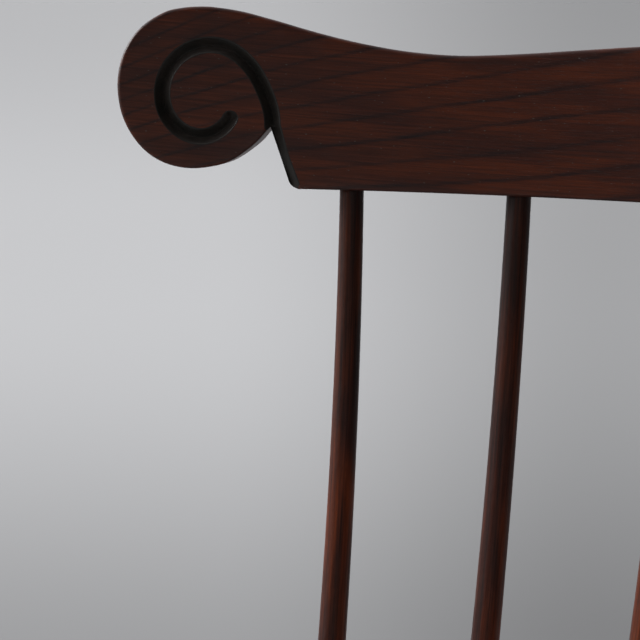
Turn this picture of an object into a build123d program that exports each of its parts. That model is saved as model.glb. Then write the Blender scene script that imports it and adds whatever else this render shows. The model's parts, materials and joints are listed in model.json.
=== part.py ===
from build123d import *
import os
from math import asin, cos, exp, radians, sin, sqrt

# Windsor rocking chair: a saddled seat on turned legs and rockers, a bent arm bow, and a high comb
# back of bent spindles under a scrolled crest rail. Millimetres and degrees.
# The chair faces -Y, X = 0 is its plane of symmetry, and the rockers touch the floor at Z = 0.

# Fits
GLUE_GAP = 0.1              # radial room for glue round a tenon
SOCKET_END_GAP = 0.5        # room past the end of a tenon in a blind socket
FINEST = 1e-4               # smallest difference that the searches below tell apart

# Seat plank, in its own plane: X across, Y towards the back, Z up from the top of the plank
SEAT_HEIGHT = 409.0         # top of the plank above the floor at the seat's origin
SEAT_SETBACK = -45.0        # the seat's origin along the chair's Y
SEAT_TILT = 5.0             # the plank falls towards the back
SEAT_THICKNESS = 42.0
SEAT_FRONT = 236.0          # origin to the front edge
SEAT_BACK = 225.0           # origin to the back edge
SEAT_HALF_WIDTH = 266.0
SEAT_WIDEST_Y = -50.0
SEAT_FRONT_SQUARENESS = 3.6   # 2 is an ellipse, more is squarer
SEAT_BACK_SQUARENESS = 2.2
SEAT_EDGE_SPANS = 6         # spans of the edge ahead of the widest place, and as many behind it
SEAT_BEVEL_WIDTH = 24.0     # the underside is bevelled so that the plank looks thin
SEAT_BEVEL_HEIGHT = 14.0

# Saddle carved into the top of the plank
SADDLE_DEPTH = 15.0
SADDLE_HALF_WIDTH = 212.0
SADDLE_DEEPEST_Y = 5.0
SADDLE_BACK_REACH = 138.0   # from the deepest place to the back rim
SADDLE_FRONT_REACH = 470.0  # far past the front edge, so that the bowl runs out over it
POMMEL_HEIGHT = 9.0         # ridge between the thighs
POMMEL_HALF_WIDTH = 62.0
POMMEL_LENGTH = 150.0
CARVING_ROOM = 60.0         # air above the seat that carving and trimming clear
CARVING_MARGIN = 15.0       # the carved surface reaches this far past the plank
CARVING_STEPS = 14          # spans of the carved surface each way
GUTTER_RADIUS = 3.0         # half-round line between the saddle and the spindles
GUTTER_MARGIN = 6.0         # rim of the saddle to the gutter
GUTTER_REACH = 28.0         # how far it turns forward of the saddle's widest place
GUTTER_SPANS = 12

# Long back spindles
SPINDLE_COUNT = 5
SPINDLE_INSET = 38.0        # back edge of the seat to the middle spindle
SPINDLE_SEAT_PITCH = 61.0   # sideways spacing at the seat
SPINDLE_CREST_PITCH = 89.8  # spacing round the crest's front face
DECK_RADIUS = 340.0         # the spindles stand on this arc at the seat
SPINDLE_STRAIGHT = 335.0    # straight length above the seat
SPINDLE_BEND_RADIUS = 1807.0
RECLINE_LOW = 22.0          # lean of the straight length
RECLINE_TOP = 12.8          # lean where the bend ends, at the crest
SPINDLE_FOOT_D = 13.8
SPINDLE_BELLY_D = 15.8
SPINDLE_BELLY_DROP = 390.0  # crest to the thickest place
SPINDLE_TOP_D = 13.0
SPINDLE_SEAT_TENON = 30.0
SPINDLE_CREST_TENON = 42.0
SPINDLE_NECK = 10.0         # sections close to each end hold the spindle straight there
SPINDLE_SPANS = 7           # even spans of the rest
SPINDLE_STEP = 0.5          # short step that a spindle's direction is read over

# Crest rail, bent to an arc and tilted back; heights are measured up its face
CREST_RADIUS = 700.0        # front face, hollow towards the sitter
CREST_THICKNESS = 20.0
CREST_TILT = 13.0
CREST_HALF_LENGTH = 310.9   # round the front face, from the middle to the end of the scroll
CREST_MIDDLE_HEIGHT = 80.0  # top of the middle hump
CREST_DIP_HEIGHT = 70.0     # lowest place of the top edge
CREST_DIP_OFFSET = 137.0    # middle to the dip
CREST_SHOULDER_DROP = 7.4   # top of the scroll to the shoulder beside it
CREST_SHOULDER_OFFSET = 54.0
CREST_ARCH = 2.5            # bottom edge at the middle
CREST_ARCH_DROP = 6.5       # the bottom edge falls by this much to its corners
CREST_OVERLAP = 30.0        # the half rail runs past the middle before it is trimmed there
SCROLL_RADIUS = 42.8
SCROLL_HEIGHT = 44.5        # centre of the scroll
NOTCH_TIP_HEIGHT = 31.5     # where the notch below the scroll ends
NOTCH_FOOT_OFFSET = 57.1    # scroll centre to the notch's lower corner
CREST_EDGE_ROUND = 3.0
CREST_CORNER_ROUND = 4.0

# Volute: a round-bottomed groove that follows the notch and winds into the scroll
VOLUTE_CUTTER_RADIUS = 4.6
VOLUTE_CUTTER_PROUD = 0.6   # the cutter's centre stands this far off the face
VOLUTE_EYE_OFFSET = 6.1     # eye of the volute from the scroll's centre, towards the middle
VOLUTE_EYE_DROP = 4.5       # and below it
VOLUTE_RUNOUT = 8.0         # the cutter starts this far below the crest
# The winding, as turn about the eye and distance from it
VOLUTE_WINDING = [(-20, 40.2), (8, 31.8), (40, 28.0), (84, 27.0), (130, 25.6), (178, 24.3), (225, 24.0),
                  (266, 23.4), (298, 20.8), (320, 18.7)]

# Arm bow, in a plane parallel to the seat
ARM_RISE = 245.0            # seat top to the middle of the bow's thickness
ARM_THICKNESS = 24.0
ARM_WIDTH = 46.0
ARM_EDGE_ROUND = 9.0
ARM_HALF_WIDTH = 272.0      # centre line at the wrists
ARM_WRIST_Y = -100.0        # where the hand rests start
HAND_WIDEST = 54.0          # wrist to the widest place, where the round nose starts
HAND_HALF_WIDTH = 36.0

# Short arm spindles
ARM_SPINDLE_COUNT = 3
ARM_SPINDLE_FIRST = 75.0    # wrist to the first arm spindle, along the bow
ARM_SPINDLE_PITCH = 78.0
ARM_SPINDLE_RAKE = 6.0      # each foot stands this far ahead of its top
ARM_SPINDLE_END_D = 11.0
ARM_SPINDLE_BELLY_D = 14.6
ARM_SPINDLE_BELLY_RISE = 96.0
ARM_SPINDLE_NECK = 6.0      # straight length that shows at each end
ARM_SPINDLE_TENON = 15.0
DECK_INSET = 30.0           # seat edge to the feet of the arm spindles and posts

# Turned arm posts, measured up from the seat
POST_TOP_Y = -138.0         # in the arm's plane
POST_FOOT_Y = -112.0        # on the seat
POST_TENON_D = 15.0
POST_SEAT_TENON = 30.0
POST_NECK = 8.0             # straight length that shows at each end
POST_VASE_D = 33.0
POST_VASE_RISE = 60.0
POST_WAIST_D = 17.0
POST_WAIST_RISE = 108.0
POST_BEAD_D = 26.0
POST_BEAD_WIDTH = 10.0
POST_BEAD_RISE = 124.0
POST_SWELL_D = 23.0
POST_SWELL_RISE = 178.0

# Turned legs, measured down from the seat's underside
LEG_FRONT_X = 178.0         # top of the front legs, on the seat's underside
LEG_FRONT_Y = -150.0
LEG_BACK_X = 160.0
LEG_BACK_Y = 105.0
LEG_FRONT_FOOT_Y = -250.0   # on the rocker, along the chair's Y
LEG_BACK_FOOT_Y = 150.0
LEG_TENON_D = 24.0          # end of the tapered tenon
LEG_TENON_REACH = 70.0      # to the tenon's end before it is trimmed to the saddle
LEG_COLLAR_D = 29.0         # where the taper starts
LEG_COLLAR_DROP = 20.0
LEG_VASE_D = 41.0
LEG_VASE_DROP = 82.0
LEG_WAIST_D = 23.0
LEG_WAIST_DROP = 132.0
LEG_BEAD_D = 34.0
LEG_BEAD_WIDTH = 13.0
LEG_BEAD_DROP = 152.0
LEG_SWELL_D = 35.0          # where the stretcher enters
LEG_FOOT_D = 25.0
LEG_COPE = 14.0             # the foot runs on by this much before it is shaped to the rocker
FOOT_INSET = 2.5            # the legs lean, so they enter the rockers inside their middle
FOOT_TENON_D = 16.0
FOOT_TENON = 24.0

# Stretchers
STRETCHER_FRONT_RISE = 176.0   # floor to the side stretcher's axis at the front leg
STRETCHER_BACK_RISE = 158.0
STRETCHER_TENON_D = 13.0
STRETCHER_TENON = 14.0
STRETCHER_NECK = 6.0           # straight length that shows at each end
STRETCHER_BASE_D = 18.0        # beside the beads
STRETCHER_BELLY_D = 31.0
STRETCHER_BEAD_D = 25.0
STRETCHER_BEAD_WIDTH = 9.0
STRETCHER_BEAD_OFFSET = 64.0   # middle of the stretcher to each bead

# Rockers
ROCKER_SPREAD = 228.0       # middle plane of each rocker from the chair's middle
ROCKER_THICKNESS = 32.0
ROCKER_HALF_LENGTH = 400.0
ROCKER_HEIGHT = 50.0        # where it touches the floor
ROCKER_RADIUS = 1050.0      # underside
ROCKER_TOP_RADIUS = 1180.0  # the rockers thin towards their ends
ROCKER_CONTACT_Y = -4.0     # where the chair stands at rest, below its centre of mass
ROCKER_TIP_ROUND = 14.0
ROCKER_EDGE_ROUND = 5.0

# Wedges and pins that lock the tenons
WEDGE_THICKNESS = 3.2       # where it is trimmed flush
WEDGE_TIP = 0.8
WEDGE_LENGTH = 20.0         # below the surface that it is trimmed to
WEDGE_SPARE = 15.0          # what is trimmed off
PIN_D = 6.0
PIN_DROP = 12.0             # top of the rocker to the pin's axis, down the leg

os.makedirs("parts", exist_ok=True)

tilt = radians(SEAT_TILT)
SEAT_PLANE = Plane(origin=(0, SEAT_SETBACK, SEAT_HEIGHT), x_dir=(1, 0, 0), z_dir=(0, sin(tilt), cos(tilt)))
ARM_PLANE = SEAT_PLANE.offset(ARM_RISE)
ARM_TOP = ARM_PLANE.offset(ARM_THICKNESS / 2)
MIDDLE = Plane.YZ
ACROSS = Vector(1, 0, 0)
SIDES = {"left": -1, "right": 1}
FROM_BASE = (Align.CENTER, Align.CENTER, Align.MIN)


def on_seat(x, y, z=0.0):
    """A point given in the seat's plane, in the chair's frame."""
    return Vector(SEAT_PLANE.from_local_coords((x, y, z)))


def on_arm(x, y, z=0.0):
    """A point given in the arm's plane, in the chair's frame."""
    return Vector(ARM_PLANE.from_local_coords((x, y, z)))


def write(part, name):
    """Labels a finished piece and writes it under its own name."""
    part.label = name
    export_step(part, f"parts/{name}.step")


def turning_plane(start, along):
    """Sketch plane for a turned piece: X is its radius, and Y runs along its axis from the start."""
    upright = abs(along.Z) > abs(along.Y)
    radial = along.cross(Vector(0, 1, 0) if upright else Vector(0, 0, 1)).normalized()
    return Plane(origin=start, x_dir=radial, z_dir=radial.cross(along))


def drill(mouth, into, diameter, depth):
    """Cuts the socket of a round tenon into the piece being built, from outside its surface."""
    with Locations(Plane(origin=mouth - into * depth, z_dir=into).location):
        Cylinder(diameter / 2 + GLUE_GAP, 2 * depth + SOCKET_END_GAP, align=FROM_BASE, mode=Mode.SUBTRACT)


# Back spindles: every axis follows the same bent side profile, fanned out from the seat to the crest

lean_low, lean_top = radians(RECLINE_LOW), radians(RECLINE_TOP)
SPINDLE_LENGTH = SPINDLE_STRAIGHT + SPINDLE_BEND_RADIUS * (lean_low - lean_top)
SPINDLE_INDICES = [i - (SPINDLE_COUNT - 1) / 2 for i in range(SPINDLE_COUNT)]


def side_profile(distance):
    """Shift of a spindle's axis, back and up, at a distance from the seat."""
    straight = min(distance, SPINDLE_STRAIGHT)
    lean = lean_low - max(distance - SPINDLE_STRAIGHT, 0) / SPINDLE_BEND_RADIUS
    back = straight * sin(lean_low) + SPINDLE_BEND_RADIUS * (cos(lean) - cos(lean_low))
    rise = straight * cos(lean_low) + SPINDLE_BEND_RADIUS * (sin(lean_low) - sin(lean))
    return Vector(0, back, rise)


def deck_point(index):
    """Foot of a long spindle, on the top of the seat."""
    x = index * SPINDLE_SEAT_PITCH
    sag = DECK_RADIUS - sqrt(DECK_RADIUS**2 - x**2)
    return on_seat(x, SEAT_BACK - SPINDLE_INSET - sag)


# The crest's frame hangs on the top of the middle spindle, whose axis enters the middle of its thickness
crest_tilt = radians(CREST_TILT)
CREST_UP = Vector(0, sin(crest_tilt), cos(crest_tilt))
CREST_FORWARD = Vector(0, -cos(crest_tilt), sin(crest_tilt))
CREST_ORIGIN = deck_point(0) + side_profile(SPINDLE_LENGTH) + CREST_FORWARD * (CREST_THICKNESS / 2)


def crest_point(along, height, proud=0.0):
    """A point round the crest's front face, up it, and proud of it."""
    turn = along / CREST_RADIUS
    reach = CREST_RADIUS - proud
    sideways = ACROSS * (reach * sin(turn))
    return CREST_ORIGIN + sideways + CREST_UP * height + CREST_FORWARD * (CREST_RADIUS - reach * cos(turn))


def spindle_point(index, distance):
    """A point on the axis of a long spindle; the fan takes it from the seat's arc to the crest's."""
    share = distance / SPINDLE_LENGTH
    inside = -CREST_THICKNESS / 2
    foot_shift = deck_point(index) - deck_point(0)
    head_shift = crest_point(index * SPINDLE_CREST_PITCH, 0, inside) - crest_point(0, 0, inside)
    return deck_point(0) + side_profile(distance) + foot_shift * (1 - share) + head_shift * share


def spindle_direction(index, distance):
    """Direction of a long spindle's axis, upwards."""
    below = max(distance - SPINDLE_STEP, 0)
    above = min(distance + SPINDLE_STEP, SPINDLE_LENGTH)
    return (spindle_point(index, above) - spindle_point(index, below)).normalized()


def spindle_diameter(distance):
    """Thickest at the belly, and tapered evenly towards the crest and the seat."""
    belly = SPINDLE_LENGTH - SPINDLE_BELLY_DROP
    if distance > belly:
        return SPINDLE_BELLY_D + (SPINDLE_TOP_D - SPINDLE_BELLY_D) * (distance - belly) / SPINDLE_BELLY_DROP
    return SPINDLE_FOOT_D + (SPINDLE_BELLY_D - SPINDLE_FOOT_D) * distance / belly


def arm_crossing(index):
    """Distance up a long spindle at which its axis passes the middle of the arm bow."""
    near, far = 0.0, SPINDLE_LENGTH
    while far - near > FINEST:
        middle = (near + far) / 2
        below = ARM_PLANE.to_local_coords(spindle_point(index, middle)).Z < 0
        near, far = (middle, far) if below else (near, middle)
    return (near + far) / 2


def make_back_spindle(index):
    """One long spindle with a straight tenon at each end."""
    span = (SPINDLE_LENGTH - 2 * SPINDLE_NECK) / SPINDLE_SPANS
    shaped = [SPINDLE_NECK + span * i for i in range(SPINDLE_SPANS + 1)]
    with BuildPart() as spindle:
        for distance in [0, *shaped, SPINDLE_LENGTH]:
            direction = spindle_direction(index, distance)
            with BuildSketch(Plane(origin=spindle_point(index, distance), x_dir=ACROSS, z_dir=direction)):
                Circle(spindle_diameter(distance) / 2)
        loft()
        ends = spindle.faces().filter_by(GeomType.PLANE).sort_by(Axis.Z)
        extrude(ends[-1], amount=SPINDLE_CREST_TENON)
        extrude(ends[0], amount=SPINDLE_SEAT_TENON)
    return spindle.part


for number, index in enumerate(SPINDLE_INDICES, 1):
    write(make_back_spindle(index), f"back_spindle_{number}")


# Crest rail: its left half is cut out square to the face at the scroll, then mirrored

SCROLL_ALONG = CREST_HALF_LENGTH - SCROLL_RADIUS
scroll_turn = SCROLL_ALONG / CREST_RADIUS
SCROLL_PLANE = Plane(
    origin=crest_point(-SCROLL_ALONG, 0),
    x_dir=ACROSS * cos(scroll_turn) - CREST_FORWARD * sin(scroll_turn),
    z_dir=ACROSS * sin(scroll_turn) + CREST_FORWARD * cos(scroll_turn),
)


def seen_from_scroll(along):
    """Sideways place, in the scroll's plane, of a point round the crest's face from the scroll's centre."""
    return CREST_RADIUS * sin(along / CREST_RADIUS)


SCROLL_TOP = (0, SCROLL_HEIGHT + SCROLL_RADIUS)
SCROLL_END = (-SCROLL_RADIUS, SCROLL_HEIGHT)
SHOULDER = (CREST_SHOULDER_OFFSET, SCROLL_TOP[1] - CREST_SHOULDER_DROP)
DIP = (seen_from_scroll(SCROLL_ALONG - CREST_DIP_OFFSET), CREST_DIP_HEIGHT)
HUMP = (seen_from_scroll(SCROLL_ALONG), CREST_MIDDLE_HEIGHT)
ARCH = (seen_from_scroll(SCROLL_ALONG), CREST_ARCH)
NOTCH_TIP = (sqrt(SCROLL_RADIUS**2 - (SCROLL_HEIGHT - NOTCH_TIP_HEIGHT) ** 2), NOTCH_TIP_HEIGHT)
NOTCH_FOOT = (NOTCH_FOOT_OFFSET, CREST_ARCH - CREST_ARCH_DROP)


def make_crest_half():
    """The left half of the crest rail, with rounded edges."""
    depth = CREST_RADIUS * (1 - cos(scroll_turn)) + 2 * CREST_THICKNESS
    axis_foot = CREST_ORIGIN + CREST_FORWARD * CREST_RADIUS - CREST_UP * SCROLL_RADIUS
    with BuildPart() as half:
        with BuildSketch(SCROLL_PLANE) as outline:
            with BuildLine():
                Spline(SCROLL_TOP, SHOULDER, DIP, HUMP, tangents=((1, 0), (1, 0)))
                ThreePointArc(SCROLL_TOP, SCROLL_END, NOTCH_TIP)
                Line(NOTCH_TIP, NOTCH_FOOT)
                TangentArc(ARCH, NOTCH_FOOT, tangent=(-1, 0))
                Polyline(HUMP, (HUMP[0] + CREST_OVERLAP, HUMP[1]), (ARCH[0] + CREST_OVERLAP, ARCH[1]), ARCH)
            make_face()
            fillet(outline.vertices().sort_by_distance(NOTCH_FOOT)[0], CREST_CORNER_ROUND)
        extrude(amount=depth, both=True)
        with BuildSketch(Plane(origin=axis_foot, x_dir=ACROSS, z_dir=CREST_UP)):
            Circle(CREST_RADIUS + CREST_THICKNESS)
            Circle(CREST_RADIUS, mode=Mode.SUBTRACT)
        extrude(amount=SCROLL_HEIGHT + 3 * SCROLL_RADIUS, mode=Mode.INTERSECT)
        split(bisect_by=MIDDLE, keep=Keep.BOTTOM)
        bent = half.faces().filter_by(GeomType.CYLINDER).filter_by(lambda f: f.radius > CREST_RADIUS - 1)
        fillet([e for e in bent.edges() if e.center().X < -GLUE_GAP], CREST_EDGE_ROUND)
    return half.part


def eye_point(turn, reach):
    """A place in the scroll's plane, by its turn about the volute's eye and its distance from it."""
    sideways = VOLUTE_EYE_OFFSET + reach * cos(radians(turn))
    return sideways, SCROLL_HEIGHT - VOLUTE_EYE_DROP + reach * sin(radians(turn))


def cutter_point(sideways, height):
    """Where the groove's cutter stands for a place in the scroll's plane."""
    along = CREST_RADIUS * asin(sideways / CREST_RADIUS) - SCROLL_ALONG
    return crest_point(along, height, VOLUTE_CUTTER_PROUD)


def make_crest_rail():
    """The whole crest rail, with a volute at each end and the spindles' sockets."""
    notch = (Vector(*NOTCH_FOOT) - Vector(*NOTCH_TIP)).normalized()
    start = Vector(*NOTCH_FOOT) + notch * VOLUTE_RUNOUT
    path = [cutter_point(start.X, start.Y), cutter_point(*NOTCH_FOOT)]
    path += [cutter_point(*eye_point(turn, reach)) for turn, reach in VOLUTE_WINDING]
    half = make_crest_half()
    with BuildPart() as crest:
        add(half)
        with BuildLine() as groove:
            Spline(*path)
        with BuildSketch(Plane(origin=groove.line @ 0, z_dir=groove.line % 0)):
            Circle(VOLUTE_CUTTER_RADIUS)
        sweep(path=groove.line, mode=Mode.SUBTRACT)
        with Locations(groove.line @ 1):
            Sphere(VOLUTE_CUTTER_RADIUS, mode=Mode.SUBTRACT)
        mirror(about=MIDDLE)
        for index in SPINDLE_INDICES:
            mouth = spindle_point(index, SPINDLE_LENGTH)
            drill(mouth, spindle_direction(index, SPINDLE_LENGTH), SPINDLE_TOP_D, SPINDLE_CREST_TENON)
    return crest.part


write(make_crest_rail(), "crest_rail")


# Lines that the pieces on the seat are set out on

# Centre line of the arm bow: straight sides, then corners that run into the arc of the long spindles
outer = ARM_PLANE.to_local_coords(spindle_point(SPINDLE_INDICES[-1], arm_crossing(SPINDLE_INDICES[-1])))
crown = ARM_PLANE.to_local_coords(spindle_point(0, arm_crossing(0)))
sag = crown.Y - outer.Y
slope = asin(2 * outer.X * sag / (outer.X**2 + sag**2))
corner_radius = (ARM_HALF_WIDTH - outer.X) / (1 - sin(slope))
corner_centre = Vector(ARM_HALF_WIDTH - corner_radius, outer.Y - corner_radius * cos(slope))
half_turn = (radians(90) - slope) / 2
BOW_WRIST = (ARM_HALF_WIDTH, ARM_WRIST_Y)
BOW_TURN = (ARM_HALF_WIDTH, corner_centre.Y)
corner_middle = corner_centre + Vector(cos(half_turn), sin(half_turn)) * corner_radius
BOW_KNEE = (corner_middle.X, corner_middle.Y)
BOW_OUTER = (outer.X, outer.Y)


def on_bow(side, place):
    """A place of the right half of the bow's centre line, or of its mirrored left half."""
    across, along = place
    return on_arm(side * across, along)


LEFT, RIGHT = SIDES.values()
with BuildLine() as bow:
    Line(on_bow(LEFT, BOW_WRIST), on_bow(LEFT, BOW_TURN))
    ThreePointArc(on_bow(LEFT, BOW_TURN), on_bow(LEFT, BOW_KNEE), on_bow(LEFT, BOW_OUTER))
    ThreePointArc(on_bow(LEFT, BOW_OUTER), on_arm(0, crown.Y), on_bow(RIGHT, BOW_OUTER))
    ThreePointArc(on_bow(RIGHT, BOW_OUTER), on_bow(RIGHT, BOW_KNEE), on_bow(RIGHT, BOW_TURN))
    Line(on_bow(RIGHT, BOW_TURN), on_bow(RIGHT, BOW_WRIST))


def seat_edge_point(turn):
    """A point of the seat's edge in its plane; the turn runs from -90 at the front to 90 at the back."""
    behind = turn > 0
    reach = SEAT_BACK - SEAT_WIDEST_Y if behind else -SEAT_FRONT - SEAT_WIDEST_Y
    power = 2 / (SEAT_BACK_SQUARENESS if behind else SEAT_FRONT_SQUARENESS)
    x = SEAT_HALF_WIDTH * cos(radians(turn)) ** power if abs(turn) < 90 else 0
    return x, SEAT_WIDEST_Y + reach * abs(sin(radians(turn))) ** power


def bow_point(side, distance):
    """A place on the bow's centre line in the arm's plane, at a distance from a wrist."""
    line = bow.wire()
    travel = distance if side < 0 else line.length - distance
    return ARM_PLANE.to_local_coords(line.position_at(travel, position_mode=PositionMode.LENGTH))


def seat_half_width(y):
    """Half width of the seat at a place along it."""
    near, far = -90.0, 90.0
    while far - near > FINEST:
        middle = (near + far) / 2
        near, far = (middle, far) if seat_edge_point(middle)[1] < y else (near, middle)
    return seat_edge_point(near)[0]


def rim_point(side, y):
    """A place on the seat's top for the foot of an arm spindle or post."""
    return on_seat(side * (seat_half_width(y) - DECK_INSET), y)


def arm_spindle_ends(side, number):
    """Where a short spindle leaves the seat and where it enters the bow."""
    top = bow_point(side, ARM_SPINDLE_FIRST + number * ARM_SPINDLE_PITCH)
    return rim_point(side, top.Y - ARM_SPINDLE_RAKE), on_arm(top.X, top.Y, -ARM_THICKNESS / 2)


def post_ends(side):
    """Where an arm post leaves the seat and where it enters the hand rest."""
    return rim_point(side, POST_FOOT_Y), on_arm(side * ARM_HALF_WIDTH, POST_TOP_Y, -ARM_THICKNESS / 2)


def rocker_top(y):
    """Height of the rocker's top edge."""
    return ROCKER_HEIGHT + ROCKER_TOP_RADIUS - sqrt(ROCKER_TOP_RADIUS**2 - (y - ROCKER_CONTACT_Y) ** 2)


def rocker_underside(y):
    """Height of the rocker's curved underside."""
    return ROCKER_RADIUS - sqrt(ROCKER_RADIUS**2 - (y - ROCKER_CONTACT_Y) ** 2)


LEG_ROWS = {
    "front": (LEG_FRONT_X, LEG_FRONT_Y, LEG_FRONT_FOOT_Y, STRETCHER_FRONT_RISE),
    "back": (LEG_BACK_X, LEG_BACK_Y, LEG_BACK_FOOT_Y, STRETCHER_BACK_RISE),
}
LEGS = [(side, row) for side in SIDES.values() for row in LEG_ROWS]


def leg_ends(side, row):
    """Where a leg stands on its rocker and where it enters the seat's underside."""
    x, y, foot_y, _ = LEG_ROWS[row]
    foot = Vector(side * (ROCKER_SPREAD - FOOT_INSET), foot_y, rocker_top(foot_y))
    return foot, on_seat(side * x, y, -SEAT_THICKNESS)


def leg_axis(side, row):
    """Direction of a leg, upwards."""
    foot, head = leg_ends(side, row)
    return (head - foot).normalized()


def leg_pin(side, row):
    """Middle of the pin that locks a leg's foot in its rocker."""
    pin = leg_ends(side, row)[0] - leg_axis(side, row) * PIN_DROP
    return Vector(side * ROCKER_SPREAD, pin.Y, pin.Z)


def stretcher_joint(side, row):
    """Where a side stretcher's axis meets the leg's axis."""
    foot, _ = leg_ends(side, row)
    along = leg_axis(side, row)
    return foot + along * ((LEG_ROWS[row][3] - foot.Z) / along.Z)


def side_stretcher_axis(side):
    """Direction of a side stretcher, from front to back."""
    return (stretcher_joint(side, "back") - stretcher_joint(side, "front")).normalized()


def side_stretcher_middle(side):
    """Where the cross stretcher's axis meets a side stretcher's."""
    return (stretcher_joint(side, "front") + stretcher_joint(side, "back")) / 2


# Saddle: the air that is carved out of the seat, which also trims the leg tenons

def saddle_height(x, y):
    """The carved surface over the seat's top; it cuts only where this is below zero."""
    reach = SADDLE_BACK_REACH if y > SADDLE_DEEPEST_Y else SADDLE_FRONT_REACH
    spread = (x / SADDLE_HALF_WIDTH) ** 2 + ((y - SADDLE_DEEPEST_Y) / reach) ** 2
    pommel = exp(-((x / POMMEL_HALF_WIDTH) ** 2) - ((y + SEAT_FRONT) / POMMEL_LENGTH) ** 2)
    return SADDLE_DEPTH * (spread - 1) + POMMEL_HEIGHT * pommel


def make_saddle():
    """What is carved out of the seat's top."""
    steps = [i / CARVING_STEPS for i in range(CARVING_STEPS + 1)]
    half_width = SEAT_HALF_WIDTH + CARVING_MARGIN
    front, back = -SEAT_FRONT - CARVING_MARGIN, SEAT_BACK + CARVING_MARGIN
    xs = [half_width * (2 * step - 1) for step in steps]
    ys = [front + (back - front) * step for step in steps]
    surface = Face.make_surface_from_array_of_points(
        [[on_seat(x, y, saddle_height(x, y)) for y in ys] for x in xs]
    )
    with BuildPart() as air:
        extrude(surface, amount=CARVING_ROOM, dir=SEAT_PLANE.z_dir)
    return air.part


SADDLE = make_saddle()


def tenon_top(side, row):
    """Where a leg's axis comes out of the saddle."""
    _, head = leg_ends(side, row)
    along = leg_axis(side, row)
    climb = along.dot(SEAT_PLANE.z_dir)
    flat = head + along * (SEAT_THICKNESS / climb)
    place = SEAT_PLANE.to_local_coords(flat)
    return flat + along * (min(saddle_height(place.X, place.Y), 0) / climb)


def post_top(side):
    """Where an arm post's axis comes out of the hand rest."""
    foot, head = post_ends(side)
    along = (head - foot).normalized()
    return head + along * (ARM_THICKNESS / along.dot(ARM_PLANE.z_dir))


def wedge_profile(top, along, room=0.0):
    """Side view of a wedge driven into a tenon, to be drawn out across it."""
    across = turning_plane(top, along).z_dir
    length = WEDGE_LENGTH + WEDGE_SPARE
    tip = WEDGE_TIP / 2 + room
    broad = tip + (WEDGE_THICKNESS - WEDGE_TIP) / 2 * length / WEDGE_LENGTH
    with BuildSketch(Plane(top - along * WEDGE_LENGTH, x_dir=across, z_dir=across.cross(along))) as profile:
        Polygon((-tip, -room), (tip, -room), (broad, length), (-broad, length), align=None)
    return profile.sketch


def leg_tenon_place(side, row):
    """Where the taper of a leg's tenon starts."""
    _, head = leg_ends(side, row)
    along = leg_axis(side, row)
    return Plane(origin=head - along * LEG_COLLAR_DROP, z_dir=along).location


LEG_TAPER = LEG_COLLAR_DROP + LEG_TENON_REACH


# Seat

def seat_section(height, shrink=1.0):
    """Outline of the plank at a height over its top, drawn smaller where it is bevelled."""
    step = 90 / SEAT_EDGE_SPANS
    edge = [seat_edge_point(step * i) for i in range(-SEAT_EDGE_SPANS, SEAT_EDGE_SPANS + 1)]
    with BuildSketch(SEAT_PLANE.offset(height)) as section:
        with BuildLine():
            Spline(*[(x * shrink, y * shrink) for x, y in edge], tangents=((1, 0), (-1, 0)))
            mirror(about=MIDDLE)
        make_face()
    return section.sketch


def gutter_point(share):
    """A point of the gutter's line on the seat's top, by its share of the way from right to left."""
    turn = radians(share * (180 + 2 * GUTTER_REACH) - GUTTER_REACH)
    reach = SADDLE_BACK_REACH + GUTTER_MARGIN if sin(turn) > 0 else SADDLE_FRONT_REACH
    return on_seat((SADDLE_HALF_WIDTH + GUTTER_MARGIN) * cos(turn), SADDLE_DEEPEST_Y + reach * sin(turn))


def make_seat():
    """The seat plank, bevelled below, saddled, and bored for everything that stands in it."""
    bevel_top = SEAT_BEVEL_HEIGHT - SEAT_THICKNESS
    edge = seat_section(bevel_top)
    under = seat_section(-SEAT_THICKNESS, 1 - SEAT_BEVEL_WIDTH / SEAT_HALF_WIDTH)
    with BuildPart() as seat:
        extrude(edge, amount=-bevel_top, dir=SEAT_PLANE.z_dir)
        loft([edge, under], ruled=True)
        add(SADDLE, mode=Mode.SUBTRACT)
        with BuildLine() as gutter:
            Spline(*[gutter_point(i / GUTTER_SPANS) for i in range(GUTTER_SPANS + 1)])
        with BuildSketch(Plane(origin=gutter.line @ 0, z_dir=gutter.line % 0)):
            Circle(GUTTER_RADIUS)
        sweep(path=gutter.line, mode=Mode.SUBTRACT)
        with Locations(gutter.line @ 0, gutter.line @ 1):
            Sphere(GUTTER_RADIUS, mode=Mode.SUBTRACT)
        for index in SPINDLE_INDICES:
            drill(deck_point(index), -spindle_direction(index, 0), SPINDLE_FOOT_D, SPINDLE_SEAT_TENON)
        for side in SIDES.values():
            foot, head = post_ends(side)
            drill(foot, (foot - head).normalized(), POST_TENON_D, POST_SEAT_TENON)
            for number in range(ARM_SPINDLE_COUNT):
                foot, head = arm_spindle_ends(side, number)
                drill(foot, (foot - head).normalized(), ARM_SPINDLE_END_D, ARM_SPINDLE_TENON)
        for leg in LEGS:
            with Locations(leg_tenon_place(*leg)):
                Cone(LEG_COLLAR_D / 2 + GLUE_GAP, LEG_TENON_D / 2 + GLUE_GAP, LEG_TAPER, align=FROM_BASE,
                     mode=Mode.SUBTRACT)
    return seat.part


write(make_seat(), "seat")


# Arm bow

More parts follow.
